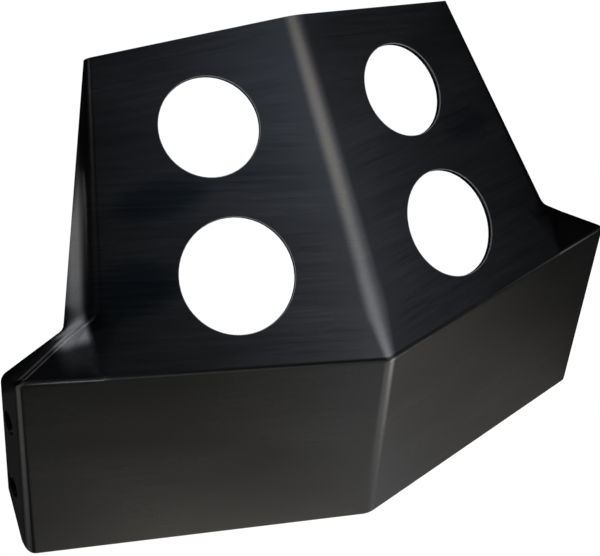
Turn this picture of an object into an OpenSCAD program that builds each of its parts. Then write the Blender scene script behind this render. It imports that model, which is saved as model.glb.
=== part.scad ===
// Motorcycle skid plate: one folded metal sheet with a centre ridge, a wide front band,
// side walls, shoulders and two bolted end flanges. Millimetres, +Z up, resting face down.

/* [Sheet] */
// Thickness of the sheet
sheet_t = 2.5; // [2:0.1:2.9]

/* [Main plate] */
// Length of the ridge, from the front fold to the rear edge
ridge_len = 157.8; // [140:1:190]
// Angle by which each half of the plate falls away from the ridge
ridge_fall = 10.3; // [7:0.1:15]
// Outer radius of the bend along the ridge
ridge_r = 32; // [8:1:40]
// Width across the rear edge
rear_w = 186; // [170:1:205]
// Width across the waist, where the side walls meet the shoulders
waist_w = 241.2; // [232:0.2:248]
// Distance of the waist behind the foremost point of the plate
waist_y = 51.6; // [48:0.2:55]

/* [Large holes] */
// Diameter of the two front holes
front_hole_d = 50.8; // [40:0.1:54]
// Distance of each front hole's centre from the ridge, along the plate
front_hole_out = 56.1; // [50:0.1:62]
// Distance of the front holes' centres behind the front fold's middle
front_hole_y = 52.5; // [46:0.1:60]
// Diameter of the two rear holes
rear_hole_d = 44.5; // [36:0.1:50]
// Distance of each rear hole's centre from the ridge, along the plate
rear_hole_out = 50.5; // [45:0.1:56]
// Distance of the rear holes' centres behind the front fold's middle
rear_hole_y = 117.7; // [112:0.1:122]

/* [Side walls] */
// Depth of a side wall at the rear edge
wall_rear = 3; // [2.8:0.1:8]
// Depth of a side wall at the waist
wall_waist = 39.8; // [30:0.2:42]
// Outer radius of the side bend at the rear edge
side_r_rear = 3.1; // [3:0.1:3.4]
// Outer radius of the side bend at the waist
side_r_waist = 9; // [6:0.1:11]
// Radius of the relief cut under the inner corner of each shoulder
relief_r = 1.8; // [1:0.1:3]

/* [Front band] */
// Width across the end flanges
band_w = 309.4; // [300:0.2:330]
// Height of the band's keel, measured along its face
band_h = 94.3; // [86:0.1:105]
// Extra height of the band's ends
band_end_more = 4.5; // [0:0.1:6]
// Angle of the band's keel below the line of the ridge
band_fall = 42.5; // [34:0.1:50]
// Angle by which the front fold runs back on each side
fold_sweep = 11.8; // [7:0.1:13.5]
// Outer radius of the front fold
fold_r = 4.2; // [3.4:0.1:8]
// Outer radius of the bend down the keel
keel_r = 12; // [6:1:20]
// Radius of the lower corners
corner_r = 3.7; // [3:0.1:8]

/* [Shoulders] */
// Half width at which the shoulders leave the front fold
shoulder_x = 119.5; // [117:0.5:123]
// Height of a shoulder's outer end above the straight fold, along the band
shoulder_lift = 0.7; // [0:0.1:4]
// Depth of the crease's inner half below the plate's own plane
shoulder_dip = 2.6; // [0:0.1:4]
// Outer radius of the crease along a shoulder's edge
crease_r = 3.6; // [3.4:0.1:4.5]
// Outer radius of the front fold's last stretch, where it runs out at a flange's head
head_r = 3.6; // [3.4:0.1:6]

/* [End flanges] */
// Width of a flange, from the band's face
flange_w = 21.4; // [20:0.2:26]
// Outer radius of the bend between the band and a flange
flange_r = 6; // [4.5:0.1:8]
// Distance of a flange's upper rear corner below the fold, along the band
flange_top = 11.5; // [8:0.5:14]
// Distance from the fold at which a flange begins to taper
taper_start = 76.7; // [74:0.1:82]
// Width that is left of a flange at its lower end
taper_end_w = 3.2; // [3:0.1:6]
// Diameter of the bolt holes
bolt_d = 11; // [8:0.1:12]
// Distance of the bolt holes' centres from the band's face
bolt_in = 13.8; // [13:0.1:15]
// Distance of the upper bolt hole from the fold, along the band
bolt_first = 31.5; // [27:0.5:34]
// Distance between the two bolt holes of a flange
bolt_gap = 36.9; // [30:0.1:41]

/* [Hidden] */
$fn = 96;

// Sides of the bends, across the plate and along it
corner_sides = 8;
across_sides = [corner_sides, 3, 10, 3, corner_sides];
along_sides = [6, 3, 8];
// Half length of the blends along the plate at the waist and on the crease
waist_run = 3;
crease_run = 3;
// Shortest half length of any blend
least_run = 1;
// Largest share of a leg that one bend takes: of a leg with a bend at both ends, and of an outer leg
inner_share = 0.46;
outer_share = 0.9;
// Where the two middle rails cross the ridge and the plate's edge, behind the front fold
ridge_crossings = [42, 24];
edge_crossings = [49.5, 38];
// Distance of the plate's edge inside its corners, at the rear and at the waist
edge_in_rear = 12;
edge_in_waist = 15;
// Outer radius of the blend along the plate's edge
edge_r = 30;
// Place of the crease's inner half, as a share of the way from the waist to the shoulder's tip
crease_share = 0.3;
// How far a cutting tool reaches past what it cuts
past = 20;

// Directions of the band, seen from the side: down its keel, and square to that towards the rear
down = [0, -cos(band_fall), -sin(band_fall)];
inward = [0, sin(band_fall), -cos(band_fall)];
half_band = band_w / 2;
half_waist = waist_w / 2;
band_end_h = band_h + band_end_more;

// A point of the plate's right half plane, from its place seen from above
function on_plate(x, y, drop = 0) = [x, y, -x * tan(ridge_fall) - drop];
// A point of the front fold
function on_fold(x) = on_plate(x, x * tan(fold_sweep));
function mix(p, q, t) = p + (q - p) * t;
function unit(v) = v / norm(v);

// Corners of the folded sheet's outer face, on the right
rear_corner = on_plate(rear_w / 2, ridge_len);
rear_foot = rear_corner - [0, 0, wall_rear];
waist_corner = on_plate(half_waist, waist_y);
waist_foot = waist_corner - [0, 0, wall_waist];
shoulder_tip = on_fold(half_band) - down * shoulder_lift;
flange_head = on_fold(half_band) + down * flange_top + inward * flange_w;
band_corner = on_fold(half_band) + down * band_end_h;
flange_foot = band_corner + inward * flange_w;
crease_corner = mix(waist_corner, shoulder_tip, crease_share) - [0, 0, shoulder_dip];
crease_foot = mix(waist_foot, flange_head, crease_share);

// Rails across the sheet, each from the middle outwards: ridge, plate's edge, corner, foot
rails = [
    [[0, ridge_len, 0], on_plate(rear_w / 2 - edge_in_rear, ridge_len), rear_corner, rear_foot],
    [[0, ridge_crossings[0], 0], on_plate(half_waist - edge_in_waist, edge_crossings[0]),
     waist_corner, waist_foot],
    [[0, ridge_crossings[1], 0], on_plate(shoulder_x, edge_crossings[1]),
     crease_corner, crease_foot],
    [[0, 0, 0], on_fold(shoulder_x), shoulder_tip, flange_head],
    [down * band_h, on_fold(shoulder_x) + down * mix(band_h, band_end_h, shoulder_x / half_band),
     band_corner, flange_foot]];
// Outer radius at each rail's ridge, plate's edge and corner
rail_radii = [
    [ridge_r, edge_r, side_r_rear],
    [ridge_r, edge_r, side_r_waist],
    [ridge_r, edge_r, crease_r],
    [keel_r, edge_r, crease_r],
    [keel_r, edge_r, flange_r]];

// Points of a bend between the legs to p and q, with corner v
function bend(p, v, q, run, sides, share_p, share_q) =
    let (a = unit(p - v), b = unit(q - v), turn = acos(max(-1, min(1, -a * b))),
         w = cos(turn / 2), s = min(run, share_p * norm(p - v), share_q * norm(q - v)))
    [for (i = [0:sides]) let (t = i / sides, e = pow(1 - t, 2), m = 2 * w * t * (1 - t), g = t * t)
        (e * (v + a * s) + m * v + g * (v + b * s)) / (e + m + g)];
// Half length of a bend of radius r at corner v
function run_of(p, v, q, r) =
    let (turn = acos(max(-1, min(1, -unit(p - v) * unit(q - v))))) max(least_run, r * tan(turn / 2));
// A path with its inner corners bent, by radius where a radius is given and else by run
function bent(path, radii, runs, sides) = let (last = len(path) - 1) concat([path[0]],
    [for (i = [1:last - 1]) each bend(path[i - 1], path[i], path[i + 1],
        radii[i - 1] > 0 ? run_of(path[i - 1], path[i], path[i + 1], radii[i - 1]) : runs[i - 1],
        sides[i - 1], i == 1 ? outer_share : inner_share, i == last - 1 ? outer_share : inner_share)],
    [path[last]]);

function mirrored(p) = [-p[0], p[1], p[2]];
function whole_rail(r) = [mirrored(r[3]), mirrored(r[2]), mirrored(r[1]), r[0], r[1], r[2], r[3]];
function whole_radii(r) = [r[2], r[1], r[0], r[1], r[2]];

// Grid of the outer face: rows run across, from the rear edge to the band's lower edge
across = [for (i = [0:len(rails) - 1])
    bent(whole_rail(rails[i]), whole_radii(rail_radii[i]), [], across_sides)];
cols_n = len(across[0]);
// Outer radius of the front fold at a column: it tightens through the crease towards the foot
function fold_at(j) = mix(head_r, fold_r, min(1, min(j, cols_n - 1 - j) / (corner_sides + 1)));
columns = [for (j = [0:cols_n - 1])
    bent([for (row = across) row[j]], [0, 0, fold_at(j)], [waist_run, crease_run, 0], along_sides)];
rows_n = len(columns[0]);
outer = [for (i = [0:rows_n - 1]) [for (j = [0:cols_n - 1]) columns[j][i]]];

// The inner face lies one sheet thickness inside, square to the outer one
function along_at(i, j) = outer[min(i + 1, rows_n - 1)][j] - outer[max(i - 1, 0)][j];
function across_at(i, j) = outer[i][min(j + 1, cols_n - 1)] - outer[i][max(j - 1, 0)];
inner = [for (i = [0:rows_n - 1]) [for (j = [0:cols_n - 1])
    outer[i][j] - sheet_t * unit(cross(along_at(i, j), across_at(i, j)))]];

// The sheet as bent turns about X until its feet meet the ground: the rear corners at the back,
// and the lowest of the flanges' toes and the waist's feet in front
flange_toe = on_fold(half_band) + down * taper_start + inward * flange_w;
front_feet = [flange_toe, waist_foot, flange_head];
rest_pitch = max([for (p = front_feet) atan2(rear_foot[2] - p[2], rear_foot[1] - p[1])]);
function rested(p) = [p[0], p[1] * cos(rest_pitch) + p[2] * sin(rest_pitch),
                      p[2] * cos(rest_pitch) - p[1] * sin(rest_pitch)];
rested_y = [for (row = outer) for (p = row) rested(p)[1]];
middle_y = (min(rested_y) + max(rested_y)) / 2;
ground_z = rested(rear_foot)[2];

module sheet() {
    function at(i, j) = i * cols_n + j;
    n = rows_n * cols_n;
    r = rows_n - 1;
    c = cols_n - 1;
    points = concat([for (row = outer) each row], [for (row = inner) each row]);
    quads = concat(
        [for (i = [0:r - 1], j = [0:c - 1]) [at(i, j), at(i, j + 1), at(i + 1, j + 1), at(i + 1, j)]],
        [for (i = [0:r - 1], j = [0:c - 1])
            [n + at(i, j), n + at(i + 1, j), n + at(i + 1, j + 1), n + at(i, j + 1)]],
        [for (j = [0:c - 1]) [at(0, j), n + at(0, j), n + at(0, j + 1), at(0, j + 1)]],
        [for (j = [0:c - 1]) [at(r, j + 1), n + at(r, j + 1), n + at(r, j), at(r, j)]],
        [for (i = [0:r - 1]) [at(i + 1, 0), n + at(i + 1, 0), n + at(i, 0), at(i, 0)]],
        [for (i = [0:r - 1]) [at(i, c), n + at(i, c), n + at(i + 1, c), at(i + 1, c)]]);
    polyhedron(points = points,
        faces = [for (q = quads) each [[q[0], q[1], q[2]], [q[0], q[2], q[3]]]]);
}

// Both sides of the plate
module both_sides() {
    children();
    mirror([1, 0, 0]) children();
}

// Round holes through the plate, square to each half
module large_hole(out, y, d) {
    translate(on_plate(out * cos(ridge_fall), y))
        rotate([0, ridge_fall, 0])
            cylinder(h = 2 * past, d = d, center = true);
}

// Frame of a band's end: X runs down the band, Y towards the rear and Z outwards
module end_frame() {
    translate(on_fold(half_band)) rotate([180 + band_fall, 0, 0]) rotate([90, 0, 90]) children();
}

module bolt_holes() {
    end_frame()
        for (i = [0, 1])
            translate([bolt_first + i * bolt_gap, bolt_in, 0])
                cylinder(h = past, d = bolt_d, center = true);
}

// Takes away what lies below a flange's sloping lower edge
module flange_taper() {
    top = [taper_start, flange_w];
    end = [band_end_h, taper_end_w];
    above = top + past * unit(top - end);
    below = end + past * unit(end - top);
    end_frame()
        translate([0, 0, -flange_r - sheet_t])
            linear_extrude(flange_r + sheet_t + past)
                polygon([above, below, [below[0] + past, below[1]], [below[0] + past, above[1]]]);
}

// Rounds off a lower corner of the band, in straight cuts whose ends run out past the sheet
module corner_round() {
    arc = [for (i = [0:corner_sides]) let (a = 90 * i / corner_sides)
        [band_end_h - corner_r * (1 - sin(a)), -corner_r * (1 - cos(a))]];
    last = corner_sides;
    from = arc[1] + past * unit(arc[0] - arc[1]);
    to = arc[last - 1] + past * unit(arc[last] - arc[last - 1]);
    end_frame()
        translate([0, past, 0])
            rotate([90, 0, 0])
                linear_extrude(2 * past)
                    polygon([from, for (i = [1:last - 1]) arc[i], to,
                             [band_end_h + past, to[1]], [band_end_h + past, past], [from[0], past]]);
}

// Half-round cut in the lower edge, where a side wall meets a shoulder's skirt
module relief() {
    translate(waist_foot) rotate([0, 90, 0]) cylinder(h = past, r = relief_r, center = true);
}

module skid_plate() {
    color([0.13, 0.13, 0.14])
        translate([0, -middle_y, -ground_z])
            rotate([-rest_pitch, 0, 0])
                difference() {
                    sheet();
                    both_sides() {
                        large_hole(front_hole_out, front_hole_y, front_hole_d);
                        large_hole(rear_hole_out, rear_hole_y, rear_hole_d);
                        bolt_holes();
                        flange_taper();
                        corner_round();
                        relief();
                    }
                }
}

skid_plate();
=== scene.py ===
import bpy
import bmesh
import math
from mathutils import Matrix, Vector


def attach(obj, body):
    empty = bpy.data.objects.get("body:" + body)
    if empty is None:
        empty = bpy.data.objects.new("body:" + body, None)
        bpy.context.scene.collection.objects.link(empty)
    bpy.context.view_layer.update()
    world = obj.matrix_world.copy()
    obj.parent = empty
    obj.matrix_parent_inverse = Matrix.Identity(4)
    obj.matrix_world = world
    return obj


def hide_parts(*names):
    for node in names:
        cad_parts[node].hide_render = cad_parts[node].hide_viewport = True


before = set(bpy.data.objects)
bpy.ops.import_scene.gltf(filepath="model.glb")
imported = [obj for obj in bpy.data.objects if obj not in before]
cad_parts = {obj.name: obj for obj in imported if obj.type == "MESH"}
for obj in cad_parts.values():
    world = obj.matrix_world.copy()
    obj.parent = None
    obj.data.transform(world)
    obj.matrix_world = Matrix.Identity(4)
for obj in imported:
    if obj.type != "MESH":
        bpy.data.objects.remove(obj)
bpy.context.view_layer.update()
scene = bpy.context.scene

# Camera: a 78 mm lens above the plate's rear left
EYE = Vector((-0.273256, 0.195713, 0.530765))
RIGHT = Vector((0.872425, -0.078411, 0.482417))
UP = Vector((0.224182, 0.941288, -0.252426))
FORWARD = Vector((0.4343, -0.328372, -0.838782))
camera_data = bpy.data.cameras.new("camera")
camera_data.lens = 78.02
camera_data.sensor_width = 36.0
camera_data.clip_start = 0.01
camera = bpy.data.objects.new("camera", camera_data)
turn = Matrix((RIGHT, UP, -FORWARD)).transposed().to_4x4()
camera.matrix_world = Matrix.Translation(EYE) @ turn
scene.collection.objects.link(camera)
scene.camera = camera

# The plate's own frame: its ridge runs level along Y, and its front fold meets the ridge at 0
PITCH = math.radians(24.3415)
MIDDLE_Y, GROUND_Z = 0.0270475, -0.083173
RIDGE_FALL = math.radians(10.3)
FOLD_SWEEP = math.radians(11.8)
# How Y and Z add up to the distance below the front fold, along the band
DOWN_Y, DOWN_Z = -0.737, -0.676
# Large holes, in mm: out from the ridge, behind the fold, and radius
HOLES = ((56.1, 52.5, 25.4), (50.5, 117.7, 22.25))

# Reflected tones of the satin black, from 0 to 1, with the painted shade and painted highlight of its side
# walls, and its roughness
PLAIN_TONE, WALL_PAINTED_SHADE, WALL_PAINTED_HIGHLIGHT = 0.13, 0.035, 0.34
PLAIN_ROUGH, WALL_ROUGH, CORNER_ROUGH, FOLD_SMOOTHING = 0.27, 0.2, 0.24, 0.08
# Height of the brush lines in metres
LINE_HEIGHT = 0.00002
# Darker patches, in mm: middle across and along, half width, half depth, and strength
DARK_PATCHES = ((-79, 92, 20, 8, 1.0), (-100, 58, 19, 12, 1.0), (82, 97, 14, 8, 0.6))
DARK_PATCH_EDGE, DARK_PATCH_STREAKS = 0.9, 1.6


def add_node(tree, kind, inputs=(), **settings):
    """Adds a node: its settings first, then its sockets' numbers and links."""
    node = tree.nodes.new(kind)
    for key, value in settings.items():
        setattr(node, key, value)
    for key, value in dict(inputs).items():
        if isinstance(value, Value):
            tree.links.new(value.socket, node.inputs[key])
        else:
            node.inputs[key].default_value = value
    return node


# Shader maths, written as ordinary sums of sockets
class Value:
    def __init__(self, tree, socket):
        self.tree, self.socket = tree, socket

    def node(self, kind, inputs, **settings):
        return Value(self.tree, add_node(self.tree, kind, inputs, **settings).outputs[0])

    def math(self, operation, *values):
        return self.node("ShaderNodeMath", dict(enumerate(values)), operation=operation)

    def __add__(self, other): return self.math("ADD", self, other)
    def __sub__(self, other): return self.math("SUBTRACT", self, other)
    def __mul__(self, other): return self.math("MULTIPLY", self, other)
    def __radd__(self, other): return self.math("ADD", other, self)
    def __rsub__(self, other): return self.math("SUBTRACT", other, self)
    def __rmul__(self, other): return self.math("MULTIPLY", other, self)
    def __neg__(self): return self.math("MULTIPLY", self, -1.0)
    def __abs__(self): return self.math("ABSOLUTE", self)

    def root(self): return self.math("SQRT", self)
    def most(self, other): return self.math("MAXIMUM", self, other)
    def mix(self, other, share): return self + share * (other - self)

    def rise(self, low, high):
        """0 at low and 1 at high, smooth between them."""
        return self.node("ShaderNodeMapRange", {0: self, 1: low, 2: high}, interpolation_type="SMOOTHSTEP")

    def within(self, low, full_from, full_to, high):
        """1 between the two middle places and 0 outside the outer ones, smooth between them."""
        return self.rise(low, full_from) * self.rise(high, full_to)

    def noise(self, v, w, detail, rough):
        """Noise over this value and two others."""
        place = self.node("ShaderNodeCombineXYZ", {0: self, 1: v, 2: w})
        return self.node("ShaderNodeTexNoise", {"Vector": place, "Scale": 1.0, "Detail": detail,
                                                "Roughness": rough})


def new_material(name):
    material = bpy.data.materials.new(name)
    material.use_nodes = True
    material.node_tree.nodes.clear()
    return material, material.node_tree


def plate_material():
    material, tree = new_material("black_brushed_metal")
    coords = Value(tree, add_node(tree, "ShaderNodeTexCoord").outputs["Object"])
    split = add_node(tree, "ShaderNodeSeparateXYZ", {0: coords})
    rest_x, rest_y, rest_z = [Value(tree, socket) for socket in split.outputs]

    # Places in millimetres in the plate's own frame
    cos, sin = math.cos(PITCH), math.sin(PITCH)
    from_y, from_z = rest_y + MIDDLE_Y, rest_z + GROUND_Z
    x = rest_x * 1000.0
    y = (from_y * cos - from_z * sin) * 1000.0
    z = (from_y * sin + from_z * cos) * 1000.0
    out_x, depth = abs(x), -z
    down = y * DOWN_Y + z * DOWN_Z
    behind_fold = y - out_x * math.tan(FOLD_SWEEP)
    on_band = down.rise(-5.0, -1.5)
    off_band = 1.0 - on_band

    # Brush lines: along the front fold on the front of each half, along the rear edge behind it
    def lines_across(place, seed):
        swayed = place + 1.6 * (x * 0.03).noise(place * 0.03, seed + 5.0, 1.0, 0.55)
        long = (x * 0.018).noise(swayed * 0.5, seed, 3.0, 0.6)
        short = (x * 0.07).noise(swayed * 1.25, seed + 9.0, 2.0, 0.6)
        return long * 0.6 + short * 0.4

    top_lines = lines_across(behind_fold, 1.0).mix(lines_across(y, 4.0), y.rise(96.0, 138.0))
    lines = top_lines.mix(lines_across(down, 7.0), on_band)
    scratch = ((x + y * 0.9) * 0.08).noise((y - x * 0.9) * 0.9, z * 0.5, 3.0, 0.6)
    patch = (x * 0.012).noise(behind_fold * 0.045, 2.0, 3.0, 0.5)

    # Darker patches, streaky at their edges
    darker_patches = 0.0
    for across, along, wide, deep, strength in DARK_PATCHES:
        u, v = (x - across) * (1.0 / wide), (y - along) * (1.0 / deep)
        inside = (u * u + v * v + DARK_PATCH_STREAKS * (lines - 0.5)).rise(1.0 + DARK_PATCH_EDGE, 1.0 - DARK_PATCH_EDGE)
        darker_patches = (strength * inside).most(darker_patches)

    # The side walls: painted shade below their bend, and a painted highlight further down, streaked by
    # scratches
    on_wall = depth.rise(21.5, 24.5) * out_x.rise(92.0, 98.0) * y.rise(44.0, 49.0)
    wall_painted_sheen = depth.rise(25.5, 35.5) * (1.0 - 0.9 * depth.rise(42.0, 60.0)) * (0.7 + 0.6 * scratch)
    wall_painted_tone = WALL_PAINTED_SHADE + WALL_PAINTED_HIGHLIGHT * wall_painted_sheen

    # A painted highlight on the left shoulder's inner corner, along its crease, streaked by scratches
    painted_corner_highlight = (-x).within(119.0, 123.0, 130.0, 138.0) * off_band
    painted_corner_highlight = painted_corner_highlight * (0.2 * y.rise(27.0, 41.0) + 0.74 * y.rise(39.0, 44.0)) * (0.6 + 0.8 * scratch)

    # Painted shade on the shoulders: the crease's end, the skirt outside it, and both tops
    crease_end_shade = out_x.within(110.0, 117.0, 119.0, 122.0) * y.within(44.5, 46.0, 51.5, 54.0)
    crease_end_shade = crease_end_shade * depth.rise(27.0, 24.0)
    skirt_shade = out_x.rise(127.0, 132.0) * y.rise(34.0, 38.0) * depth.rise(27.0, 33.0)
    right_shoulder_shade = x.rise(116.0, 122.0) * depth.rise(33.0, 30.0) * off_band
    left_shoulder_shade = (-x).rise(121.0, 127.0) * off_band

    # A painted highlight along the front fold of each shoulder, which is also made smoother there
    painted_fold_highlight = out_x.within(117.0, 121.0, 148.0, 152.0) * down.within(-4.8, -3.9, -3.2, -2.4)

    # A painted highlight: a bright hairline round the top edge of each large hole, less metallic there
    cos, sin = math.cos(RIDGE_FALL), math.sin(RIDGE_FALL)
    along_slope, below_top = out_x * cos - z * sin, -(z * cos + out_x * sin)
    painted_rim_highlight = 0.0
    for hole_x, hole_y, radius in HOLES:
        u, v = along_slope - hole_x, y - hole_y
        near_rim = (u * u + v * v).root().rise(radius + 0.35, radius + 0.05)
        painted_rim_highlight = near_rim * below_top.rise(0.9, 0.5) + painted_rim_highlight

    # Tone of the metal, from the plain black to its grain, patches and marks, with painted shade and
    # painted highlights on the walls, shoulders, folds and hole rims
    quiet = 1.0 - 0.6 * on_band
    swing = quiet * (0.25 + 0.75 * out_x.rise(4.0, 20.0))
    tone = PLAIN_TONE + swing * (0.07 * (patch - 0.5) + 0.2 * (lines - 0.5))
    tone = tone.mix(wall_painted_tone, on_wall) * (1.0 - 0.5 * left_shoulder_shade)
    tone = (tone + 0.9 * painted_corner_highlight * (1.0 - 0.35 * on_wall)) * (1.0 - 0.6 * crease_end_shade)
    tone = tone * (1.0 - 0.97 * skirt_shade) * (1.0 - 0.65 * right_shoulder_shade) + 0.2 * painted_fold_highlight + 0.6 * painted_rim_highlight
    color = x.node("ShaderNodeCombineColor", {
        "Red": tone * (1.0 - 0.55 * darker_patches),
        "Green": tone * (1.01 - 0.45 * darker_patches),
        "Blue": tone * (1.03 - 0.38 * darker_patches)})

    wall_and_corner_rough = (WALL_ROUGH * on_wall).most(CORNER_ROUGH * painted_corner_highlight)
    rough = PLAIN_ROUGH + 0.05 * (patch - 0.5) + wall_and_corner_rough - FOLD_SMOOTHING * painted_fold_highlight
    bump = x.node("ShaderNodeBump", {"Strength": 1.0, "Distance": LINE_HEIGHT,
                                     "Height": lines * quiet + painted_corner_highlight * scratch})
    shader = x.node("ShaderNodeBsdfPrincipled", {"Base Color": color, "Metallic": 1.0 - 0.9 * painted_rim_highlight,
                                                 "Roughness": rough, "Normal": bump})
    add_node(tree, "ShaderNodeOutputMaterial", {"Surface": shader})
    return material


# The plate: the solid's own skin, smooth over its bends and sharp at its cut edges
SHARP_ANGLE = math.radians(38)
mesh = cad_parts["skid_plate"].data.copy()
mesh.name = "plate_skin"
piece = bpy.data.objects.new("plate_skin", mesh)
scene.collection.objects.link(piece)
bm = bmesh.new()
bm.from_mesh(mesh)
bmesh.ops.remove_doubles(bm, verts=bm.verts, dist=1e-6)
for face in bm.faces:
    face.smooth = True
for edge in bm.edges:
    edge.smooth = len(edge.link_faces) == 2 and edge.calc_face_angle(0) < SHARP_ANGLE
bm.to_mesh(mesh)
bm.free()
mesh.materials.clear()
mesh.materials.append(plate_material())
weigh = piece.modifiers.new("weigh", "WEIGHTED_NORMAL")
weigh.keep_sharp = True
weigh.weight = 50
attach(piece, "root")
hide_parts("skid_plate")

# Floor: a plain white studio table, lit from within so that it stays white everywhere
FLOOR_REACH, FLOOR_Z, FLOOR_GLOW = 6.0, -0.0005, 1.02
floor_mesh = bpy.data.meshes.new("floor")
bm = bmesh.new()
bmesh.ops.create_grid(bm, x_segments=1, y_segments=1, size=FLOOR_REACH,
                      matrix=Matrix.Translation((0, 0, FLOOR_Z)))
bm.to_mesh(floor_mesh)
bm.free()
floor = bpy.data.objects.new("floor", floor_mesh)
scene.collection.objects.link(floor)
white, tree = new_material("white_floor")
glow = Value(tree, add_node(tree, "ShaderNodeEmission", {"Strength": FLOOR_GLOW}).outputs[0])
add_node(tree, "ShaderNodeOutputMaterial", {"Surface": glow})
floor_mesh.materials.append(white)
floor.visible_glossy = False
floor.visible_diffuse = False
floor.visible_shadow = False

# Soft round lights at one distance from the plate: direction, half angle in degrees, and radiance
LIGHT_DISTANCE, LIGHT_AIM = 1.2, Vector((0, 0, 0.04))
ROUND_LIGHTS = {
    "keel_light": ((0.608, -0.649, 0.457), 9, (4.25, 4.07, 3.7)),
    "keel_left": ((0.38, -0.78, 0.5), 10, (0.56, 0.54, 0.5)),
    "band_right": ((0.74, -0.66, 0.0), 7, (0.068, 0.064, 0.058)),
    "front_right_below": ((0.7, -0.71, -0.08), 8, (0.17, 0.16, 0.15)),
    "ridge_light": ((0.38, 0.22, 0.9), 11.5, (1.85, 1.95, 2.1)),
    "ridge_left": ((0.2, 0.3, 0.93), 12, (0.04, 0.045, 0.055)),
    "ridge_right": ((0.72, 0.22, 0.66), 7, (0.1, 0.105, 0.12)),
    "rear_top": ((0.411, 0.555, 0.723), 9, (1.64, 1.55, 1.36)),
    "rear_top_left": ((0.179, 0.604, 0.777), 9, (0.23, 0.28, 0.38)),
    "rear_right": ((0.594, 0.721, 0.357), 9, (0.36, 0.41, 0.52)),
    "right_top": ((0.62, 0.408, 0.67), 9, (0.36, 0.39, 0.47)),
    "front_low": ((0.0, -1.0, 0.12), 12, (2.36, 2.22, 1.98)),
    "front_right_low": ((0.5, -0.866, 0.12), 12, (0.38, 0.39, 0.41)),
    "front_top": ((-0.067, -0.592, 0.803), 9, (0.3, 0.3, 0.28)),
    "front_middle": ((0.161, -0.857, 0.49), 9, (0.36, 0.36, 0.36)),
    "front_left": ((-0.28, -0.913, 0.297), 9, (0.12, 0.12, 0.11)),
    "left_low": ((-0.889, -0.452, 0.074), 24, (0.36, 0.36, 0.34)),
    "rear_left_low": ((-0.5, 0.866, 0.12), 12, (0.52, 0.55, 0.61)),
    "crease_light": ((-0.3, 0.93, 0.18), 5, (0.5, 0.5, 0.55)),
    "shoulder_light": ((-0.27, -0.46, 0.85), 4, (0.7, 0.7, 0.7)),
    # Wide fills from where the main view mirrors little, so that every side reads well
    "fill_left": ((-0.7, -0.14, 0.7), 25, (0.32, 0.32, 0.33)),
    "fill_above_right": ((0.5, -0.3, 0.81), 15, (0.38, 0.38, 0.39)),
    "fill_rear": ((0.12, 0.9, 0.36), 13, (0.36, 0.36, 0.37)),
    "fill_rear_left": ((-0.5, 0.78, 0.32), 13, (0.3, 0.3, 0.31)),
    "fill_right": ((0.93, -0.18, 0.3), 9, (0.3, 0.3, 0.31)),
}
# Small cards lying on the table beside the plate, facing up: edges in X and Y, and radiance
TABLE_CARDS = {
    "wall_card": (-0.17, -0.11, 0.004, 0.064, 0.27),
    "flange_card": (-0.26, -0.156, -0.15, -0.03, 0.022),
}
WORLD_COLOR = (0.007, 0.0073, 0.0082, 1)


def place_light(name, data, location, aim):
    light = bpy.data.objects.new(name, data)
    light.location = location
    light.rotation_euler = (Vector(aim) - Vector(location)).to_track_quat("-Z", "Y").to_euler()
    light.visible_camera = False
    scene.collection.objects.link(light)


for name, (toward, half_angle, radiance) in ROUND_LIGHTS.items():
    radius = LIGHT_DISTANCE * math.tan(math.radians(half_angle))
    data = bpy.data.lights.new(name, "AREA")
    data.shape = "DISK"
    data.size = 2 * radius
    data.color = [part / max(radiance) for part in radiance]
    data.energy = max(radiance) * (math.pi * radius) ** 2
    place_light(name, data, LIGHT_AIM + LIGHT_DISTANCE * Vector(toward).normalized(), LIGHT_AIM)

for name, (x0, x1, y0, y1, radiance) in TABLE_CARDS.items():
    data = bpy.data.lights.new(name, "AREA")
    data.shape = "RECTANGLE"
    data.size, data.size_y = x1 - x0, y1 - y0
    data.energy = radiance * math.pi * data.size * data.size_y
    at = ((x0 + x1) / 2, (y0 + y1) / 2, 0.0)
    place_light(name, data, at, (at[0], at[1], 1.0))

world = bpy.data.worlds.new("studio")
world.use_nodes = True
world.node_tree.nodes["Background"].inputs["Color"].default_value = WORLD_COLOR
world.node_tree.nodes["Background"].inputs["Strength"].default_value = 1.0
scene.world = world
scene.view_settings.view_transform = "Standard"
